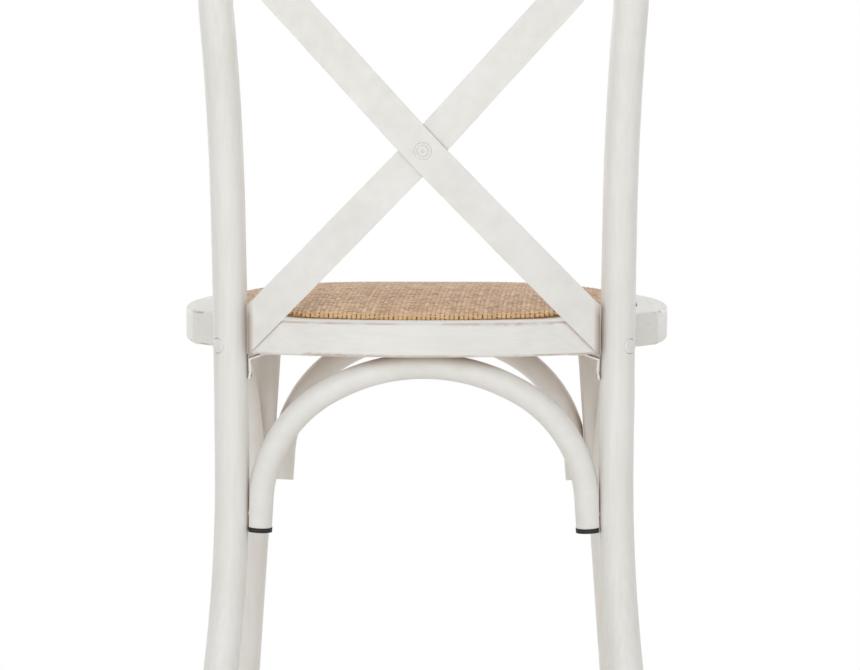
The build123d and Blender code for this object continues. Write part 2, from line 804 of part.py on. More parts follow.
# Crossed straps
cross_front_y = strap_fronts["inner"]
cross_back_y = strap_fronts["outer"] + strap_thickness
cross_seat = Plane((0, cross_back_y + contact_gap, strap_cross_height), z_dir=(0, -1, 0))
cross_bolt_length = cross_back_y + contact_gap - cross_front_y + cap_nut_height
cross_hole = bored(cross_seat, bolt_diameter, cross_bolt_length)
for name in strap_sides:
    blank = strap_solid(name, 0)
    with BuildPart() as cross_strap:
        add(blank)
        for tool in (cross_hole, strap_pin_holes[name], *strap_screw_holes):
            add(tool, mode=Mode.SUBTRACT)
    cross_strap.part.label = "cross_strap_" + name
    export_step(cross_strap.part, f"parts/cross_strap_{name}.step")

# Bolt at the crossing: flat rim, raised boss with a dimple, and its shank
with BuildPart() as cross_bolt:
    with BuildSketch(cross_seat):
        Circle(cross_head_diameter / 2)
    extrude(amount=-cross_head_rim)
    rim = cross_bolt.faces().sort_by(Axis.Y)[-1]
    fillet(rim.edges(), radius=cross_head_rim / 2)
    with BuildSketch(cross_seat.offset(-cross_head_rim)):
        Circle(cross_boss_diameter / 2)
    extrude(amount=-cross_boss_height)
    boss = cross_bolt.faces().sort_by(Axis.Y)[-1]
    fillet(boss.edges(), radius=cross_boss_height / 2)
    with BuildSketch(cross_seat.offset(-cross_head_rim - cross_boss_height)):
        Circle(cross_dimple_diameter / 2)
    extrude(amount=cross_dimple_depth, mode=Mode.SUBTRACT)
    with BuildSketch(cross_seat):
        Circle(bolt_diameter / 2)
    extrude(amount=cross_bolt_length - cap_nut_edge)
cross_bolt.part.label = "cross_bolt"
export_step(cross_bolt.part, "parts/cross_bolt.step")

# Domed nut on the sitter's side of the crossing
nut_seat = Plane((0, cross_front_y - rod_gap, strap_cross_height), z_dir=(0, -1, 0))
with BuildPart() as cross_cap_nut:
    with BuildSketch(nut_seat):
        Circle(cap_nut_diameter / 2)
    extrude(amount=cap_nut_height)
    fillet(cross_cap_nut.faces().sort_by(Axis.Y)[0].edges(), radius=cap_nut_edge)
    add(cross_hole, mode=Mode.SUBTRACT)
cross_cap_nut.part.label = "cross_cap_nut"
export_step(cross_cap_nut.part, "parts/cross_cap_nut.step")

# Arched braces under the seat, planed flat where they lie against the legs
hoop_wires = {}
braces = {}
for name, hoop in hoops.items():
    with BuildLine(hoop.plane) as hoop_route:
        FilletPolyline(*hoop.points, radius=hoop.radii)
    hoop_wire = hoop_route.wires()[0]
    hoop_wires[name] = hoop_wire
    own_planes = [*leg_dowel_planes(hoop), top_dowel_plane(hoop)]
    own_holes = [bored(p, hoop_dowel_diameter, hoop_dowel_length) for p in own_planes]
    with BuildPart() as brace:
        with BuildSketch(Plane(hoop_wire @ 0, x_dir=hoop.plane.z_dir, z_dir=hoop_wire % 0)):
            Circle(hoop_radius)
        sweep(path=hoop_wire)
        for flat in hoop.flats:
            split(bisect_by=flat, keep=Keep.BOTTOM)
        for tool in own_holes:
            add(tool, mode=Mode.SUBTRACT)
    brace.part.label = name
    braces[name] = brace.part
    export_step(brace.part, f"parts/{name}.step")

# The right side brace is the mirror image of the left one
with BuildPart() as side_hoop_right:
    mirror(braces["side_hoop_left"], about=Plane.YZ)
side_hoop_right.part.label = "side_hoop_right"
export_step(side_hoop_right.part, "parts/side_hoop_right.step")

# Black caps on the ends of the rear brace
rear_hoop_wire = hoop_wires["rear_hoop"]
cap_seats = [
    Plane(rear_hoop_wire @ 0, z_dir=rear_hoop_wire % 0 * -1),
    Plane(rear_hoop_wire @ 1, z_dir=rear_hoop_wire % 1),
]
with BuildPart() as rear_hoop_caps:
    for seat in cap_seats:
        with BuildSketch(seat):
            Circle(cap_diameter / 2)
        extrude(amount=cap_thickness)
    for flat in hoops["rear_hoop"].flats:
        split(bisect_by=flat, keep=Keep.BOTTOM)
rear_hoop_caps.part.label = "rear_hoop_caps"
export_step(rear_hoop_caps.part, "parts/rear_hoop_caps.step")

# Bolts through the posts, with domed heads
with BuildPart() as post_bolts:
    for seat in post_bolt_planes:
        with BuildSketch(seat):
            Circle(post_head_diameter / 2)
        extrude(amount=-post_head_height)
        with BuildSketch(seat):
            Circle(bolt_diameter / 2)
        extrude(amount=post_bolt_length)
    heads = post_bolts.faces().filter_by(GeomType.PLANE).sort_by(Axis.Y)[-2:]
    fillet(heads.edges(), radius=post_head_edge)
post_bolts.part.label = "post_bolts"
export_step(post_bolts.part, "parts/post_bolts.step")

# Cross drilled nuts of the post bolts, inside the seat frame
nut_blanks = [plain_pin(p, barrel_nut_diameter, barrel_nut_height) for p in barrel_nut_seats]
with BuildPart() as post_barrel_nuts:
    add(nut_blanks)
    for tool in post_bolt_holes:
        add(tool, mode=Mode.SUBTRACT)
post_barrel_nuts.part.label = "post_barrel_nuts"
export_step(post_barrel_nuts.part, "parts/post_barrel_nuts.step")

# Bent steel brackets between the rear rail's underside and the posts
bracket_top = seat_underside - contact_gap
bracket_tail_x = bracket_post_x - contact_gap
for side, name in ((1, "left"), (-1, "right")):
    bracket_points = [
        (side * (bracket_x - bracket_rail_start), bracket_top),
        (side * (bracket_x - bracket_rail_end), bracket_top),
        (side * (bracket_x - bracket_corner), bracket_top - bracket_drop),
        (side * (bracket_tail_x - bracket_bow), bracket_top - bracket_knee_drop),
        (side * bracket_tail_x, bracket_top - bracket_tail_drop),
    ]
    lower_side = Side.RIGHT if side > 0 else Side.LEFT
    with BuildPart() as seat_bracket:
        with BuildSketch(Plane.XZ.offset(-bracket_y)):
            with BuildLine():
                Polyline(*bracket_points)
                offset(amount=bracket_thickness, side=lower_side)
            make_face()
        extrude(amount=bracket_width / 2, both=True)
        for tool in bracket_holes:
            add(tool, mode=Mode.SUBTRACT)
    seat_bracket.part.label = "seat_bracket_" + name
    export_step(seat_bracket.part, f"parts/seat_bracket_{name}.step")

# Dowels, screws and pins, each kind in one group
fastener_groups = {
    "hoop_leg_dowels": [plain_pin(p, hoop_dowel_diameter, hoop_dowel_length) for p in hoop_leg_planes],
    "hoop_seat_dowels": [plain_pin(p, hoop_dowel_diameter, hoop_dowel_length) for p in hoop_top_planes],
    "bracket_screws": [flush_screw(p, short_screw_length, 0) for p in bracket_screw_planes],
    "seat_board_screws": [flush_screw(p, board_screw_length, 0) for p in board_screw_planes],
    "strap_lower_screws": [flush_screw(p, short_screw_length, 0) for p in strap_screw_planes],
    "strap_upper_pins": [plain_pin(p, pin_diameter, pin_length) for p in strap_pin_seats.values()],
}
for name, solids in fastener_groups.items():
    with BuildPart() as fastener_group:
        add(solids)
    fastener_group.part.label = name
    export_step(fastener_group.part, f"parts/{name}.step")

# Foot glides with their nails
for name, point in foot_points.items():
    with BuildPart() as glide:
        with BuildSketch(Plane((point.X, point.Y, 0))):
            Circle(glide_diameter / 2)
        extrude(amount=glide_height)
        fillet(glide.faces().sort_by(Axis.Z)[0].edges(), radius=glide_edge)
        with BuildSketch(nail_seats[name]):
            Circle(glide_nail_diameter / 2)
        extrude(amount=glide_nail_length)
    glide.part.label = "glide_" + name
    export_step(glide.part, f"parts/glide_{name}.step")
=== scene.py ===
# %% [markdown]
# # A cross-back dining chair
# The chair is drawn in CAD first, so every rod, rail and bolt already has its shape and place.
# Blender adds what CAD leaves out: the paint, the weave of the seat, a floor, light and a camera.
# We load the CAD pieces once and note the box they fill, because nothing may grow out of it.

# %% Load the CAD pieces
import math

import bpy
import numpy as np
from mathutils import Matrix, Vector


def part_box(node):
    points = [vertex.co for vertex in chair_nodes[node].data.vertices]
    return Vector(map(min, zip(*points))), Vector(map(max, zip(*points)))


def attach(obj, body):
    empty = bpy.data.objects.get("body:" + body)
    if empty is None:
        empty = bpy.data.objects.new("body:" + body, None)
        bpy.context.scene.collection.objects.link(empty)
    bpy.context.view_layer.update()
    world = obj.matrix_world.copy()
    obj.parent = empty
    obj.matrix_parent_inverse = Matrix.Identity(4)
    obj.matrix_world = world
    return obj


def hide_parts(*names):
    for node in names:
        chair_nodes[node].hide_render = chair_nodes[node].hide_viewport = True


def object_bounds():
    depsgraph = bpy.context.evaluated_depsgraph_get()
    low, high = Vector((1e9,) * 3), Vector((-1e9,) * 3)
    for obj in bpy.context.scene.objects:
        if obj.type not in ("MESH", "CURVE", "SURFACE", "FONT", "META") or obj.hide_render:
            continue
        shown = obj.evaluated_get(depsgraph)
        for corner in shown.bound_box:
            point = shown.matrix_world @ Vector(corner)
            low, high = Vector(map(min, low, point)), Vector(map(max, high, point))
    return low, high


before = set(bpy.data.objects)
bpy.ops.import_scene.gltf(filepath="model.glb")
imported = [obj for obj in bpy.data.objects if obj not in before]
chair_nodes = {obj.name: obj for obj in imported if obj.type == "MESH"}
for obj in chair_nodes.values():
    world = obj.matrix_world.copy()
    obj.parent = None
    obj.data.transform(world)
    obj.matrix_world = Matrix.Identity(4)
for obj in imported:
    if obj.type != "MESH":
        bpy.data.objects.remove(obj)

cad_low, cad_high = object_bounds()
print("pieces:", len(chair_nodes), "chair size in metres:", [round(s, 3) for s in cad_high - cad_low])

# %% [markdown]
# ## Small helpers for finishes
# A finish is a little graph of nodes. A few helpers keep the graphs short to read. They start a
# material, feed a socket, mix two colours, stretch a range, do a sum, lay noise on a piece and
# press dents into it. Colours are written as they look on a screen, from 0 to 255, and turned
# into the linear values that Blender mixes light with.

# %% Helpers for materials
full_screen_value = 255
straight_limit = 0.04045
straight_slope = 12.92
curve_offset = 0.055
curve_power = 2.4

# The Mix node keeps sockets for every kind of data. These are the places of its colour sockets.
mix_factor_place = 0
mix_first_place = 6
mix_second_place = 7
mix_result_place = 2

unstretched = (1.0, 1.0, 1.0)


def screen_colour(red, green, blue):
    """The linear colour for a colour that is written as it looks on a screen."""
    linear = []
    for value in (red, green, blue):
        share = value / full_screen_value
        if share <= straight_limit:
            linear.append(share / straight_slope)
        else:
            linear.append(((share + curve_offset) / (1.0 + curve_offset)) ** curve_power)
    return (*linear, 1.0)


def start_material(name):
    """A new material, its node tree and its main shader."""
    material = bpy.data.materials.new(name)
    material.use_nodes = True
    tree = material.node_tree
    return material, tree, tree.nodes["Principled BSDF"]


def feed(tree, socket, value):
    """Links an output to a socket, or sets a plain value on it."""
    if isinstance(value, bpy.types.NodeSocket):
        tree.links.new(value, socket)
    else:
        socket.default_value = value


def mix_colours(tree, factor, first, second):
    """The first colour, going over to the second as the factor goes from 0 to 1."""
    node = tree.nodes.new("ShaderNodeMix")
    node.data_type = "RGBA"
    feed(tree, node.inputs[mix_factor_place], factor)
    feed(tree, node.inputs[mix_first_place], first)
    feed(tree, node.inputs[mix_second_place], second)
    return node.outputs[mix_result_place]


def stretch_range(tree, value, low, high, to_low=0.0, to_high=1.0):
    """Spreads the range from low to high over another range, and stops at its ends."""
    node = tree.nodes.new("ShaderNodeMapRange")
    feed(tree, node.inputs["Value"], value)
    node.inputs["From Min"].default_value = low
    node.inputs["From Max"].default_value = high
    node.inputs["To Min"].default_value = to_low
    node.inputs["To Max"].default_value = to_high
    return node.outputs["Result"]


def calculate(tree, operation, first, second=0.0):
    """One step of arithmetic on a value, or between two values."""
    node = tree.nodes.new("ShaderNodeMath")
    node.operation = operation
    feed(tree, node.inputs[0], first)
    feed(tree, node.inputs[1], second)
    return node.outputs[0]


def noise_on_piece(tree, stretch, scale, detail=4.0):
    """Cloudy noise fixed to the piece; a small stretch value along an axis draws it out that way."""
    place = tree.nodes.new("ShaderNodeTexCoord")
    mapping = tree.nodes.new("ShaderNodeMapping")
    noise = tree.nodes.new("ShaderNodeTexNoise")
    mapping.inputs["Scale"].default_value = stretch
    noise.inputs["Scale"].default_value = scale
    noise.inputs["Detail"].default_value = detail
    tree.links.new(place.outputs["Object"], mapping.inputs["Vector"])
    tree.links.new(mapping.outputs["Vector"], noise.inputs["Vector"])
    return noise.outputs["Fac"]


def dent(tree, shader, height, strength, distance):
    """Turns a height into fine dents in the surface."""
    bump = tree.nodes.new("ShaderNodeBump")
    bump.inputs["Strength"].default_value = strength
    bump.inputs["Distance"].default_value = distance
    tree.links.new(height, bump.inputs["Height"])
    tree.links.new(bump.outputs["Normal"], shader.inputs["Normal"])


print("helpers ready")

# %% [markdown]
# ## Where the paint is thin, and where shade is painted
# Paint on such a chair is rubbed thin along the edges. A mask is a value from 0 to 1 that tells
# such places apart. It could be painted by hand on each piece, but these masks come from the
# shape itself. One reads how far a rounded edge leans. One finds sharp edges, by comparing the
# surface with a rounded copy of it. One picks the bends of the straps' feet by their place,
# beside the posts, where a painted shade stands for the posts' shadow.

# %% Masks for worn places
round_edge_rises = (0.30, 0.62)
round_edge_falls = (0.70, 0.97)
sharp_edge_reach = 0.0012
sharp_edge_turn = (0.97, 0.80)
sharp_edge_samples = 6
# Where the straps' feet beside the posts get painted shade: across and up, in metres.
foot_shade_rises = (0.1605, 0.1668)
foot_shade_falls = (0.1669, 0.1673)
foot_shade_heights = (0.475, 0.455)


def taken_apart(tree, kind):
    """One kind of coordinates on the piece, taken apart into X, Y and Z."""
    place = tree.nodes.new("ShaderNodeTexCoord")
    parts = tree.nodes.new("ShaderNodeSeparateXYZ")
    tree.links.new(place.outputs[kind], parts.inputs[0])
    return parts.outputs


def rounded_edge_mask(tree):
    """1 on the rounded upper and lower edges of the seat frame, where the normal is half way up."""
    upright = calculate(tree, "ABSOLUTE", taken_apart(tree, "Normal")["Z"])
    rising = stretch_range(tree, upright, *round_edge_rises)
    falling = stretch_range(tree, upright, *round_edge_falls, to_low=1.0, to_high=0.0)
    return calculate(tree, "MULTIPLY", rising, falling)


def sharp_edge_mask(tree):
    """1 beside sharp edges, where a rounded normal turns away from the true one."""
    bevel = tree.nodes.new("ShaderNodeBevel")
    bevel.samples = sharp_edge_samples
    bevel.inputs["Radius"].default_value = sharp_edge_reach
    true_normal = tree.nodes.new("ShaderNodeNewGeometry")
    product = tree.nodes.new("ShaderNodeVectorMath")
    product.operation = "DOT_PRODUCT"
    tree.links.new(bevel.outputs["Normal"], product.inputs[0])
    tree.links.new(true_normal.outputs["Normal"], product.inputs[1])
    return stretch_range(tree, product.outputs["Value"], *sharp_edge_turn)


def strap_foot_shade_mask(tree):
    """1 on the bends of the straps' feet, at the ends of the rear rail, where a painted shade stands for
    the posts' shadow.
    """
    parts = taken_apart(tree, "Object")
    sideways = calculate(tree, "ABSOLUTE", parts["X"])
    rising = stretch_range(tree, sideways, *foot_shade_rises)
    falling = stretch_range(tree, sideways, *foot_shade_falls, to_low=1.0, to_high=0.0)
    low_down = stretch_range(tree, parts["Z"], *foot_shade_heights)
    return calculate(tree, "MULTIPLY", calculate(tree, "MULTIPLY", rising, falling), low_down)


print("masks ready")

# %% [markdown]
# ## Hand-rubbed white paint
# The wood wears an off-white paint, brushed along each piece. Where the masks say that it is thin,
# the brown undercoat shows, or the grey primer on the flat straps and fittings. It could be painted
# by hand on an unwrapped picture, but a graph of noise needs no picture and follows every piece.
# Long streaks stand for the brush. Ambient Occlusion finds the tight corners and gaps, and a warm
# brown painted shade goes there. On the front legs and on the front and side braces a painted shade
# darkens the coat towards the top, under the seat. On the straps' feet beside the posts a painted
# shade stands for the posts' shadow.

# %% Paint finish
coat_light = screen_colour(234, 234, 231)
coat_thin = screen_colour(228, 226, 221)
undercoat = screen_colour(180, 144, 116)
primer_grey = screen_colour(170, 162, 154)
# Painted shade: this warm brown stands in for shade in corners, gaps and under the seat, and for warm
# light bounced there.
painted_shade_tone = screen_colour(170, 128, 98)
# Painted shade for the straps' feet beside the posts, standing for the posts' shadow.
painted_foot_shade_tone = screen_colour(156, 130, 117)
streak_scale = 260.0
rub_starts = 0.94
rub_full = 1.10
# Heights over which the front legs and inner braces darken towards the seat, as painted shade.
painted_seat_shade_heights = (0.34, 0.41)
# Ambient Occlusion settings that pick the corners and gaps for the painted shade.
painted_shade_samples = 8
painted_shade_openness = (0.66, 0.10)


def paint(
    name,
    brush_stretch,
    painted_shade_reach,
    painted_shade_depth,
    edges="none",
    rub_share=0.0,
    rub_depth=0.0,
    shade_bent_feet=False,
    painted_seat_shade=0.0,
):
    """Brushed paint, rubbed thin on a share of its edges, with painted shade in its corners and gaps
    and, where asked, towards the seat and on the straps' feet.
    """
    material, tree, shader = start_material(name)
    streaks = noise_on_piece(tree, brush_stretch, streak_scale)
    clouds = noise_on_piece(tree, unstretched, scale=14.0, detail=2.0)
    both = calculate(tree, "ADD", streaks, clouds)
    coat = mix_colours(tree, stretch_range(tree, both, low=0.75, high=1.3), coat_light, coat_thin)
    if edges != "none":
        edge_mask = rounded_edge_mask(tree) if edges == "rounded" else sharp_edge_mask(tree)
        below = undercoat if edges == "rounded" else primer_grey
        patches = noise_on_piece(tree, unstretched, scale=42.0, detail=5.0)
        rubbed = stretch_range(
            tree, patches, rub_starts - rub_share, rub_full - rub_share, to_high=rub_depth
        )
        coat = mix_colours(tree, calculate(tree, "MULTIPLY", edge_mask, rubbed), coat, below)
    # Painted shade: the bends of the straps' feet beside the posts darken, as in the posts' shadow.
    if shade_bent_feet:
        coat = mix_colours(tree, strap_foot_shade_mask(tree), coat, painted_foot_shade_tone)
    # Painted shade: the coat goes darker and warmer towards the top, as in the shade and warm bounced
    # light under the seat.
    if painted_seat_shade > 0:
        height = taken_apart(tree, "Object")["Z"]
        painted_seat_shade_share = stretch_range(tree, height, *painted_seat_shade_heights, to_high=painted_seat_shade)
        coat = mix_colours(tree, painted_seat_shade_share, coat, painted_shade_tone)
    # Painted shade: Ambient Occlusion darkens corners and gaps towards the warm brown, where shade
    # falls.
    corners = tree.nodes.new("ShaderNodeAmbientOcclusion")
    corners.samples = painted_shade_samples
    corners.inputs["Distance"].default_value = painted_shade_reach
    painted_shade_share = stretch_range(tree, corners.outputs["AO"], *painted_shade_openness, to_high=painted_shade_depth)
    coat = mix_colours(tree, painted_shade_share, coat, painted_shade_tone)
    roughness = stretch_range(tree, both, low=0.6, high=1.4, to_low=0.40, to_high=0.58)
    tree.links.new(coat, shader.inputs["Base Color"])
    tree.links.new(roughness, shader.inputs["Roughness"])
    dent(tree, shader, streaks, strength=0.10, distance=0.0006)
    return material


up_and_down = (1.0, 1.0, 0.05)
side_to_side = (0.05, 1.0, 1.0)
front_to_back = (1.0, 0.05, 1.0)
round_the_rod = (0.25, 0.25, 0.25)
every_way = (0.3, 0.3, 0.3)

# Each piece gets its own reach and strength of painted shade; the legs and braces under the seat get the
# most.
post_paint = paint("post_paint", up_and_down, painted_shade_reach=0.022, painted_shade_depth=0.10)
# The front legs and the braces under the seat also get painted shade towards the top.
leg_paint = paint("leg_paint", up_and_down, painted_shade_reach=0.075, painted_shade_depth=0.90, painted_seat_shade=0.28)
brace_paint = paint("brace_paint", round_the_rod, painted_shade_reach=0.022, painted_shade_depth=0.60)
inner_brace_paint = paint(
    "inner_brace_paint", round_the_rod, painted_shade_reach=0.080, painted_shade_depth=0.85, painted_seat_shade=0.28
)
# On the front and rear rails the rubbed edges are partly wear and partly a painted warm light, as thrown
# from the cane onto their top edges.
cross_rail_paint = paint(
    "cross_rail_paint", side_to_side, painted_shade_reach=0.022, painted_shade_depth=0.75,
    edges="rounded", rub_share=0.55, rub_depth=0.50,
)
side_rail_paint = paint(
    "side_rail_paint", front_to_back, painted_shade_reach=0.022, painted_shade_depth=0.25,
    edges="rounded", rub_share=0.48, rub_depth=0.75,
)
strap_paint = paint(
    "strap_paint", every_way, painted_shade_reach=0.022, painted_shade_depth=0.40,
    edges="sharp", rub_share=0.55, rub_depth=0.6, shade_bent_feet=True,
)
fitting_paint = paint(
    "fitting_paint", every_way, painted_shade_reach=0.012, painted_shade_depth=0.35,
    edges="sharp", rub_share=0.60, rub_depth=0.7,
)
print("paints:", [m.name for m in bpy.data.materials if m.name.endswith("paint")])

# %% [markdown]
# ## Bare board, bare metal and plastic
# Under the seat lies a plain board, and the screws, nuts and pins inside the chair are zinc plated
# steel. The rear brace's end caps and the foot glides are moulded plastic. They are seen little,
# but from below they tell what holds the chair together, so each gets its own surface: long grain,
# fine scratches or a matt moulded skin.

# %% Board, metal and plastic finishes
board_pale = screen_colour(206, 176, 140)
board_grain = screen_colour(168, 132, 96)
zinc_grey = screen_colour(176, 178, 180)
zinc_pale = screen_colour(206, 205, 200)


def board_wood():
    """Pale board with long grain along the chair's depth."""
    material, tree, shader = start_material("board_wood")
    grain = noise_on_piece(tree, stretch=(1.0, 0.04, 1.0), scale=190.0, detail=6.0)
    colour = mix_colours(tree, stretch_range(tree, grain, low=0.32, high=0.70), board_pale, board_grain)
    roughness = stretch_range(tree, grain, low=0.3, high=0.7, to_low=0.55, to_high=0.75)
    tree.links.new(colour, shader.inputs["Base Color"])
    tree.links.new(roughness, shader.inputs["Roughness"])
    dent(tree, shader, grain, strength=0.25, distance=0.0005)
    return material


def zinc_steel():
    """Zinc plated steel with fine scratches and cloudy plating."""
    material, tree, shader = start_material("zinc_steel")
    clouds = noise_on_piece(tree, unstretched, scale=120.0, detail=3.0)
    scratches = noise_on_piece(tree, stretch=(1.0, 0.1, 1.0), scale=900.0, detail=2.0)
    roughness = stretch_range(tree, scratches, low=0.3, high=0.7, to_low=0.26, to_high=0.46)
    tree.links.new(mix_colours(tree, clouds, zinc_grey, zinc_pale), shader.inputs["Base Color"])
    shader.inputs["Metallic"].default_value = 1.0
    tree.links.new(roughness, shader.inputs["Roughness"])
    dent(tree, shader, scratches, strength=0.06, distance=0.0002)
    return material


def moulded_plastic(name, dark, light, smooth, rough):
    """Moulded plastic with a fine matt skin."""
    material, tree, shader = start_material(name)
    skin = noise_on_piece(tree, unstretched, scale=1400.0, detail=2.0)
    roughness = stretch_range(tree, skin, low=0.3, high=0.7, to_low=smooth, to_high=rough)
    tree.links.new(mix_colours(tree, skin, dark, light), shader.inputs["Base Color"])
    tree.links.new(roughness, shader.inputs["Roughness"])
    dent(tree, shader, skin, strength=0.12, distance=0.0002)
    return material


board_finish = board_wood()
zinc_finish = zinc_steel()
cap_finish = moulded_plastic(
    "cap_plastic", screen_colour(14, 12, 11), screen_colour(30, 26, 24), smooth=0.55, rough=0.72
)
glide_finish = moulded_plastic(
    "glide_plastic", screen_colour(196, 190, 180), screen_colour(216, 211, 202), smooth=0.4, rough=0.6
)
print("finishes:", len(bpy.data.materials))

# %% [markdown]
# ## Who wears what
# The CAD pieces keep their shapes, and each gets one of the finishes. Posts and legs are brushed
# along their length, the front and rear rails from side to side and the side rails from front
# to back.

# %% Give the CAD pieces their finishes
wardrobe = {
    post_paint: ["rear_frame"],
    leg_paint: ["front_leg_left", "front_leg_right"],
    brace_paint: ["rear_hoop", "hoop_leg_dowels"],
    inner_brace_paint: ["front_hoop", "side_hoop_left", "side_hoop_right"],
    cross_rail_paint: ["seat_rail_front", "seat_rail_rear"],
    side_rail_paint: ["seat_rail_left", "seat_rail_right"],
    strap_paint: ["cross_strap_outer", "cross_strap_inner"],
    fitting_paint: [
        "cross_bolt", "cross_cap_nut", "post_bolts",
        "seat_bracket_left", "seat_bracket_right", "bracket_screws",
    ],
    board_finish: ["seat_board", "seat_rail_dowels", "hoop_seat_dowels"],
    zinc_finish: ["post_barrel_nuts", "seat_board_screws", "strap_lower_screws", "strap_upper_pins"],
    cap_finish: ["rear_hoop_caps"],
    glide_finish: ["glide_front_left", "glide_front_right", "glide_rear_left", "glide_rear_right"],
}
for finish, names in wardrobe.items():
    for name in names:
        slots = chair_nodes[name].data.materials
        slots.clear()
        slots.append(finish)
dressed = {name for names in wardrobe.values() for name in names}
print("still to dress:", sorted(set(chair_nodes) - dressed))

# %% [markdown]
# ## The edge of the woven panel
# The seat is a panel of woven cane, crowned like a shallow dome and drawn down into the frame all
# round. The CAD piece gives its edge and crown, so we read the edge from its flat underside and
# walk round it in even steps. The weave stays a little inside that edge, clear of the frame.

# %% Read the panel's edge
panel_low, panel_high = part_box("rattan_seat")
panel_middle = (panel_low + panel_high) / 2
panel_centre = np.array([panel_middle.x, panel_middle.y])
crown_radius = 1.520
crown_centre_z = panel_high.z - crown_radius
frame_clearance = 0.0004
edge_steps = 240
underside_depth = 0.0001
same_place_digits = 6


def angle_round_panel(x, y):
    """Direction in which a point lies from the panel's middle, seen from above."""
    return math.atan2(y - panel_middle.y, x - panel_middle.x)


underside_points = {
    (round(v.co.x, same_place_digits), round(v.co.y, same_place_digits))
    for v in chair_nodes["rattan_seat"].data.vertices
    if v.co.z < panel_low.z + underside_depth
}
rim = np.array(sorted(underside_points, key=lambda point: angle_round_panel(*point)))
closed_rim = np.vstack([rim, rim[:1]])
walked = np.concatenate([[0.0], np.cumsum(np.linalg.norm(np.diff(closed_rim, axis=0), axis=1))])
even_steps = np.linspace(0.0, walked[-1], edge_steps, endpoint=False)
edge = np.column_stack([np.interp(even_steps, walked, closed_rim[:, k]) for k in (0, 1)])
tangent = np.roll(edge, -1, axis=0) - np.roll(edge, 1, axis=0)
inward = np.column_stack([-tangent[:, 1], tangent[:, 0]])
inward /= np.linalg.norm(inward, axis=1)[:, None]
edge = edge + inward * frame_clearance
print("edge points:", len(rim), "edge length in metres:", round(float(walked[-1]), 3))

# %% [markdown]
# ## Crown and edge
# Two small functions give the weave its form. One tells how far a point lies inside the edge. The
# other gives the height there: the dome of the crown, less a quarter round that draws the strands
# down into the frame at the rim. From side to side the dome is fuller than a ball: nearly level
# in the middle, with its fall near the two sides. It is low there already, so the quarter round
# is shallower at the sides.

# %% Crown of the weave
rim_radius = 0.0045
side_roll = 0.3
side_roll_width = 0.03


def inside_edge(points):
    """Distance of each point from the panel's edge."""
    nearest = np.full(len(points), np.inf)
    for start, end in zip(edge, np.roll(edge, -1, axis=0)):
        along = end - start
        share = np.clip(((points - start) @ along) / (along @ along), 0.0, 1.0)
        nearest = np.minimum(nearest, np.linalg.norm(points - start - share[:, None] * along, axis=1))
    return nearest


def crown_height(points, edge_distance):
    """Height of the crown over the floor at each point."""
    half_width = panel_high.x - panel_middle.x
    across = np.abs(points[:, 0] - panel_middle.x)
    along = points[:, 1] - panel_middle.y
    dome = crown_centre_z + np.sqrt(crown_radius**2 - (across**2 / half_width) ** 2 - along**2)
    short = np.clip(rim_radius - edge_distance, 0.0, rim_radius)
    roll = np.interp(half_width - across, [0.0, side_roll_width], [side_roll, 1.0])
    return dome - roll * (rim_radius - np.sqrt(rim_radius**2 - short**2))


middle_point = panel_centre[None, :]
print("crown over the floor:", round(float(crown_height(middle_point, inside_edge(middle_point))[0]), 4))

# %% [markdown]
# ## Pad under the weave
# Under the strands lies a firm pad that carries the crown. A circle is added, laid along
# the panel's edge and extruded upwards, and then ring after ring inwards over the crown. The
# last ring is filled, and so is the bottom, which leaves one closed form that rests flat on the
# board.

# %% Model the pad
pad_sink = 0.0012
pad_rings = 14
pad_ring_crowding = 1.4
pad_start_radius = 0.2
pad_smooth_angle = math.radians(40)


def ring_coordinates(share):
    """The panel's edge drawn in to a share of its size, laid on the crown."""
    ring = panel_centre + (edge - panel_centre) * share
    heights = crown_height(ring, inside_edge(ring)) - pad_sink
    return np.column_stack([ring, heights])


def place_selected(coordinates):
    """Moves the selected ring of points to new places, in order round the ring."""
    bpy.ops.object.mode_set(mode="OBJECT")
    chosen = [v for v in bpy.context.object.data.vertices if v.select]
    chosen.sort(key=lambda v: angle_round_panel(v.co.x, v.co.y))
    places = sorted(coordinates, key=lambda point: angle_round_panel(point[0], point[1]))
    for vertex, place in zip(chosen, places):
        vertex.co = place
    bpy.ops.object.mode_set(mode="EDIT")


bpy.ops.object.select_all(action="DESELECT")
bpy.ops.mesh.primitive_circle_add(
    vertices=edge_steps, radius=pad_start_radius, location=(panel_middle.x, panel_middle.y, 0.0)
)
seat_pad = bpy.context.object
seat_pad.name = "seat_pad"
bpy.ops.object.transform_apply(location=True, rotation=True, scale=True)
bpy.ops.object.mode_set(mode="EDIT")
bpy.ops.mesh.select_all(action="SELECT")
bottom = ring_coordinates(1.0)
bottom[:, 2] = panel_low.z
place_selected(bottom)
bpy.ops.mesh.edge_face_add()
bpy.ops.mesh.select_all(action="SELECT")
bpy.ops.mesh.extrude_edges_move()
place_selected(ring_coordinates(1.0))
for ring_number in range(1, pad_rings):
    bpy.ops.mesh.extrude_edges_move()
    place_selected(ring_coordinates(1.0 - (ring_number / pad_rings) ** pad_ring_crowding))
bpy.ops.mesh.edge_face_add()
bpy.ops.mesh.select_all(action="SELECT")
bpy.ops.mesh.normals_make_consistent(inside=False)
bpy.ops.object.mode_set(mode="OBJECT")
bpy.ops.object.shade_smooth_by_angle(angle=pad_smooth_angle)
print("pad faces:", len(seat_pad.data.polygons))

# %% [markdown]
# ## Laying out the strands
# Flat cane strands run front to back and side to side and pass over and under each other, as in
# plain cloth. The weave lies turned by a few degrees in its frame, so the strands are laid out on
# the panel's edge turned back by that angle, where each has a number and a straight line. From
# that line it wanders a little by chance. The chance has a fixed seed, so each run gives the same
# weave.

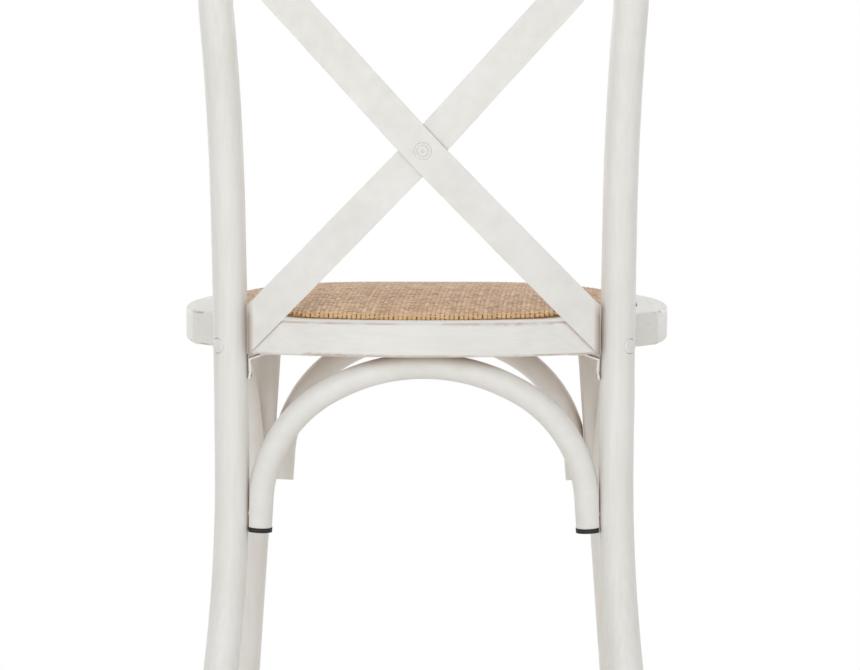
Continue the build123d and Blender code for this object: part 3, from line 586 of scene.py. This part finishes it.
# %% Lay out the strands
strand_pitch = 0.00443
strand_width = 0.0044
strand_lift = 0.0006
strand_wander = 0.09
weave_sink = 0.0003
weave_turn = math.radians(-2.6)
weave_seed = 7
steps_per_crossing = 3
fewest_steps = 6
strands_to_fade = 3
rim_fade = strands_to_fade * strand_pitch
chance = np.random.RandomState(weave_seed)

# The axis across the strands: X for those that run front to back, Y for those from side to side.
x_axis = 0
y_axis = 1


def turn_matrix(angle):
    """The matrix that turns points seen from above."""
    return np.array([[math.cos(angle), -math.sin(angle)], [math.sin(angle), math.cos(angle)]])


def turned(points, angle):
    """Points seen from above, turned round the panel's middle."""
    return panel_centre + (points - panel_centre) @ turn_matrix(angle).T


loom_edge = turned(edge, -weave_turn)


def reach_along(offset, across):
    """Where the line at an offset across the panel enters and leaves its edge."""
    following = np.roll(loom_edge, -1, axis=0)
    side = loom_edge[:, across] - offset
    next_side = following[:, across] - offset
    crossed = np.nonzero(side * next_side < 0)[0]
    share = side[crossed] / (side[crossed] - next_side[crossed])
    start = loom_edge[crossed, 1 - across]
    places = start + share * (following[crossed, 1 - across] - start)
    return places.min(), places.max()


def drift(most, count):
    """A value that drifts by chance along a strand, at most so far to either side of 0."""
    stops = chance.uniform(-most, most, count // steps_per_crossing + 2)
    return np.interp(np.arange(count) / steps_per_crossing, np.arange(len(stops)), stops)


def strand(number, across):
    """Points of one strand, how high it lies at each, and how far each is from the edge."""
    along = 1 - across
    offset = panel_centre[across] + number * strand_pitch
    low, high = reach_along(offset, across)
    count = max(int(round((high - low) / strand_pitch * steps_per_crossing)), fewest_steps) + 1
    places = np.empty((count, 2))
    places[:, along] = np.linspace(low, high, count)
    places[:, across] = offset + strand_pitch * drift(strand_wander, count)
    crossings = (places[:, along] - panel_centre[along]) / strand_pitch
    turn = np.cos(math.pi * (crossings + number))
    placed = turned(places, weave_turn)
    edge_distance = inside_edge(placed)
    over = (turn if across == x_axis else -turn) * np.clip(edge_distance / rim_fade, 0.0, 1.0)
    heights = crown_height(placed, edge_distance) + strand_lift * over - weave_sink
    return np.column_stack([placed, heights]), over, edge_distance


def strand_numbers(across):
    """Numbers of the strands that fit between the panel's two sides."""
    start = panel_centre[across]
    low = math.ceil((loom_edge[:, across].min() - start + strand_width / 2) / strand_pitch)
    high = math.floor((loom_edge[:, across].max() - start - strand_width / 2) / strand_pitch)
    return range(low, high + 1)


long_strands = strand_numbers(x_axis)
cross_strands = strand_numbers(y_axis)
print("strands front to back:", len(long_strands), "side to side:", len(cross_strands))

# %% [markdown]
# ## Weaving the cane
# A picture of a weave would look flat from low down, as this seat is seen, so each strand is real:
# a slim flattened tube that rises and dips at each crossing and bends down at the rim. No two are
# quite as wide. Each point of a strand keeps a tint, how high it lies and how near the rim it is,
# as attributes that the finish reads.

# %% Weave the strands
strand_thickness = 0.0012
narrowest_share = 0.90
tint_low = 0.2
tint_high = 0.8
tint_drift = 0.65
rim_reach = 0.009
never_zero = 1e-9

# Corners of a strand's section, in shares of its width and of its thickness.
flat_share = 0.27
section = [
    (-0.5, 0.0), (-flat_share, 0.5), (flat_share, 0.5),
    (0.5, 0.0), (flat_share, -0.5), (-flat_share, -0.5),
]


def strand_faces(first, count):
    """Faces of one strand's tube, from its first point on, with both ends closed."""
    corners = len(section)
    last = first + (count - 1) * corners
    faces = []
    for row in range(first, last, corners):
        for k in range(corners):
            after = (k + 1) % corners
            faces.append((row + k, row + after, row + corners + after, row + corners + k))
    faces.append(tuple(first + k for k in reversed(range(corners))))
    faces.append(tuple(last + k for k in range(corners)))
    return faces


def add_smooth_piece(name, points, faces, marks):
    """A new smooth piece with its faces pointing outwards, and marks at its points."""
    mesh = bpy.data.meshes.new(name)
    mesh.from_pydata(points, [], faces)
    for label, values in marks.items():
        attribute = mesh.attributes.new(label, "FLOAT", "POINT")
        attribute.data.foreach_set("value", np.array(values, dtype=np.float32))
    piece = bpy.data.objects.new(name, mesh)
    bpy.context.scene.collection.objects.link(piece)
    bpy.ops.object.select_all(action="DESELECT")
    bpy.context.view_layer.objects.active = piece
    piece.select_set(True)
    bpy.ops.object.mode_set(mode="EDIT")
    bpy.ops.mesh.select_all(action="SELECT")
    bpy.ops.mesh.normals_make_consistent(inside=False)
    bpy.ops.object.mode_set(mode="OBJECT")
    bpy.ops.object.shade_smooth()
    return piece


def weave(name, across, numbers):
    """All strands that run one way, for the given strand numbers, as one piece."""
    points = []
    faces = []
    marks = {"strand_tint": [], "strand_over": [], "strand_rim": []}
    sideways = np.append(turn_matrix(weave_turn)[:, across], 0.0)
    for number in numbers:
        line, over, edge_distance = strand(number, across)
        forward = np.gradient(line, axis=0)
        forward /= np.linalg.norm(forward, axis=1)[:, None]
        upward = np.cross(forward, sideways)
        upward *= np.sign(upward[:, 2:3] + never_zero)
        width = strand_width * chance.uniform(narrowest_share, 1.0)
        tints = drift(tint_drift, len(line)) + chance.uniform(tint_low, tint_high)
        faces.extend(strand_faces(len(points), len(line)))
        for place, up, high, near, tint in zip(line, upward, over, edge_distance, tints):
            for across_share, up_share in section:
                points.append(place + sideways * across_share * width + up * up_share * strand_thickness)
                marks["strand_tint"].append(tint)
                marks["strand_over"].append((1.0 + high) / 2)
                marks["strand_rim"].append(max(0.0, 1.0 - near / rim_reach))
    print(name, "strands:", len(numbers), "faces:", len(faces))
    return add_smooth_piece(name, points, faces, marks)


long_half = len(long_strands) // 2
cross_half = len(cross_strands) // 2
weave_pieces = [
    weave("cane_long_right", x_axis, long_strands[:long_half]),
    weave("cane_long_left", x_axis, long_strands[long_half:]),
    weave("cane_cross_front", y_axis, cross_strands[:cross_half]),
    weave("cane_cross_rear", y_axis, cross_strands[cross_half:]),
]

# %% [markdown]
# ## Cane finish
# Cane is honey brown, a little glossy, and no two strands have the same tone. Strands that dip
# under others are darker, partly for dust and partly as painted shade in the gaps, and the fresh
# bend at the rim is yellower. The graph reads the three attributes of the weave, and adds long
# fibres along the strands. The pad under them is dull brown fibre, seen only in the gaps.

# %% Cane and pad finishes
cane_light = screen_colour(230, 197, 163)
cane_deep = screen_colour(170, 131, 96)
cane_dust_and_shade = screen_colour(142, 110, 84)
cane_fresh = screen_colour(238, 198, 146)
pad_deep = screen_colour(186, 146, 102)
pad_light = screen_colour(204, 164, 118)


def strand_value(tree, label):
    """One of the weave's own attributes."""
    node = tree.nodes.new("ShaderNodeAttribute")
    node.attribute_name = label
    return node.outputs["Fac"]


def cane(name, fibre_stretch):
    """Cane whose fibres run the way of the stretch."""
    material, tree, shader = start_material(name)
    fibres = noise_on_piece(tree, fibre_stretch, scale=700.0, detail=3.0)
    blotches = noise_on_piece(tree, unstretched, scale=60.0, detail=3.0)
    uneven = calculate(tree, "ADD", fibres, blotches)
    tone = calculate(tree, "ADD", strand_value(tree, "strand_tint"), uneven)
    colour = mix_colours(tree, stretch_range(tree, tone, low=0.8, high=2.2), cane_light, cane_deep)
    # Dust and painted shade: strands darken where they dip under others.
    dip_dust_and_shade = stretch_range(tree, strand_value(tree, "strand_over"), low=0.55, high=0.0, to_high=0.8)
    colour = mix_colours(tree, dip_dust_and_shade, colour, cane_dust_and_shade)
    fresh = stretch_range(tree, strand_value(tree, "strand_rim"), low=0.15, high=0.9, to_high=0.7)
    colour = mix_colours(tree, fresh, colour, cane_fresh)
    roughness = stretch_range(tree, fibres, low=0.3, high=0.7, to_low=0.45, to_high=0.65)
    tree.links.new(colour, shader.inputs["Base Color"])
    tree.links.new(roughness, shader.inputs["Roughness"])
    dent(tree, shader, fibres, strength=0.2, distance=0.0003)
    return material


def pad_fibre():
    """Dull brown fibre of the pad, seen only between the strands."""
    material, tree, shader = start_material("pad_fibre")
    fibres = noise_on_piece(tree, stretch=(1.0, 1.0, 0.3), scale=500.0, detail=4.0)
    roughness = stretch_range(tree, fibres, low=0.3, high=0.7, to_low=0.7, to_high=0.9)
    tree.links.new(mix_colours(tree, fibres, pad_deep, pad_light), shader.inputs["Base Color"])
    tree.links.new(roughness, shader.inputs["Roughness"])
    dent(tree, shader, fibres, strength=0.3, distance=0.0004)
    return material


long_cane = cane("long_cane", fibre_stretch=(1.0, 0.08, 1.0))
cross_cane = cane("cross_cane", fibre_stretch=(0.08, 1.0, 1.0))
for piece in weave_pieces:
    piece.data.materials.append(long_cane if "long" in piece.name else cross_cane)
seat_pad.data.materials.append(pad_fibre())
for piece in (seat_pad, *weave_pieces):
    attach(piece, "root")
    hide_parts("rattan_seat")
print("seat dressed with", [p.name for p in weave_pieces])

# %% [markdown]
# ## Floor
# The chair stands on a pale floor that fades to white a little way off, as in a studio. Near the
# feet the floor is plain matt paint, which takes the chair's shadow. Further out it goes over to
# white for the camera and for reflections, while its light on the chair stays that of a floor.

# %% Lay the floor
floor_radius = 4.0
floor_sides = 96
floor_roughness = 0.9
floor_gloss = 0.1
floor_grey = screen_colour(246, 243, 239)
floor_pale = screen_colour(250, 248, 245)
fade_centre = (0.0, 0.12, 0.0)
fade_start = 0.26
fade_end = 0.53


def seen_directly(tree):
    """1 where something is seen by the camera, in a reflection or through glass, and 0 for its light."""
    path = tree.nodes.new("ShaderNodeLightPath")
    seen = calculate(tree, "MAXIMUM", path.outputs["Is Camera Ray"], path.outputs["Is Glossy Ray"])
    return calculate(tree, "MAXIMUM", seen, path.outputs["Is Transmission Ray"])


def show_mixed(tree, factor, first, second, output_name):
    """Shows the first shader, going over to the second as the factor goes from 0 to 1."""
    node = tree.nodes.new("ShaderNodeMixShader")
    for source, socket in zip((factor, first, second), node.inputs):
        tree.links.new(source, socket)
    tree.links.new(node.outputs[0], tree.nodes[output_name].inputs["Surface"])


def studio_floor_paint():
    """Pale matt paint that goes over to white away from the chair."""
    material, tree, shader = start_material("studio_floor_paint")
    clouds = noise_on_piece(tree, unstretched, scale=30.0, detail=3.0)
    tree.links.new(mix_colours(tree, clouds, floor_grey, floor_pale), shader.inputs["Base Color"])
    shader.inputs["Roughness"].default_value = floor_roughness
    shader.inputs["Specular IOR Level"].default_value = floor_gloss
    place = tree.nodes.new("ShaderNodeTexCoord")
    distance = tree.nodes.new("ShaderNodeVectorMath")
    distance.operation = "DISTANCE"
    distance.inputs[1].default_value = fade_centre
    tree.links.new(place.outputs["Object"], distance.inputs[0])
    far_away = stretch_range(tree, distance.outputs["Value"], fade_start, fade_end)
    white_share = calculate(tree, "MULTIPLY", far_away, seen_directly(tree))
    white_glow = tree.nodes.new("ShaderNodeEmission")
    white_glow.inputs["Strength"].default_value = 1.0
    show_mixed(tree, white_share, shader.outputs[0], white_glow.outputs[0], "Material Output")
    return material


bpy.ops.object.select_all(action="DESELECT")
bpy.ops.mesh.primitive_circle_add(
    vertices=floor_sides, radius=floor_radius, fill_type="NGON", location=(0.0, 0.0, 0.0)
)
floor = bpy.context.object
floor.name = "studio_floor"
floor.data.materials.append(studio_floor_paint())
print("floor radius:", floor_radius)

# %% [markdown]
# ## Light
# Studio pictures of white furniture use large soft lights, so that edges show without hard
# shadows. The world gives an even light from all round, and the camera sees it as plain white. A
# big soft lamp beside the camera lights the back of the chair, and a weaker one on the right
# lifts the other side. Two lamps beyond the chair brighten the seat's sides and graze the cane,
# and one high up lights the seat from above.

# %% Set the lights
sky_strength = 0.49
sky_tint = (1.0, 0.995, 0.985, 1.0)
plain_white = (1.0, 1.0, 1.0, 1.0)
scene = bpy.context.scene
scene.view_settings.view_transform = "Standard"
sky = bpy.data.worlds.new("studio_sky")
scene.world = sky
sky.use_nodes = True
sky_tree = sky.node_tree
soft_sky = sky_tree.nodes["Background"]
soft_sky.inputs["Color"].default_value = sky_tint
soft_sky.inputs["Strength"].default_value = sky_strength
white_sky = sky_tree.nodes.new("ShaderNodeBackground")
white_sky.inputs["Color"].default_value = plain_white
white_sky.inputs["Strength"].default_value = 1.0
show_mixed(sky_tree, seen_directly(sky_tree), soft_sky.outputs[0], white_sky.outputs[0], "World Output")

chair_middle = (cad_low + cad_high) / 2


def soft_lamp(name, place, size, power):
    """A large square lamp that faces the middle of the chair."""
    bpy.ops.object.select_all(action="DESELECT")
    bpy.ops.object.light_add(type="AREA", location=place)
    lamp = bpy.context.object
    lamp.name = name
    lamp.data.size = size
    lamp.data.energy = power
    aim = chair_middle - lamp.location
    lamp.rotation_euler = aim.to_track_quat("-Z", "Y").to_euler()


soft_lamp("key_lamp", place=(0.7, 3.2, 1.05), size=2.2, power=35.0)
soft_lamp("fill_lamp", place=(-2.0, 2.4, 1.2), size=2.0, power=8.0)
soft_lamp("left_rim_lamp", place=(1.9, -2.2, 1.0), size=1.6, power=13.0)
soft_lamp("right_rim_lamp", place=(-1.9, -2.2, 1.0), size=1.6, power=11.5)
soft_lamp("top_lamp", place=(0.0, -1.7, 2.4), size=2.2, power=16.0)

# %% [markdown]
# ## Camera
# The picture is taken from behind the chair, a little above the seat, with a long lens. The lens
# comes from the picture's width in pixels and the focal length in pixels. The camera is tilted
# down and turned slightly, so no shift is needed: the tilt puts the level line some pixels over
# the picture's middle, and the turn puts the point straight ahead some pixels beside it.

# %% Place the camera
picture_width = 860
focal_pixels = 3300
level_line_pixels = 305
straight_ahead_pixels = 52
sensor_width = 36.0
camera_place = (-0.0551, 3.2786, 0.725)
tilt_down = math.atan2(level_line_pixels, focal_pixels)
turn_left = math.atan2(straight_ahead_pixels, focal_pixels)
bpy.ops.object.select_all(action="DESELECT")
bpy.ops.object.camera_add(location=camera_place)
camera = bpy.context.object
camera.name = "studio_camera"
camera.data.sensor_fit = "HORIZONTAL"
camera.data.sensor_width = sensor_width
camera.data.lens = focal_pixels / picture_width * sensor_width
camera.rotation_euler = (math.pi / 2 - tilt_down, 0.0, math.pi + turn_left)
scene.camera = camera
print("lens in mm:", round(camera.data.lens, 2))
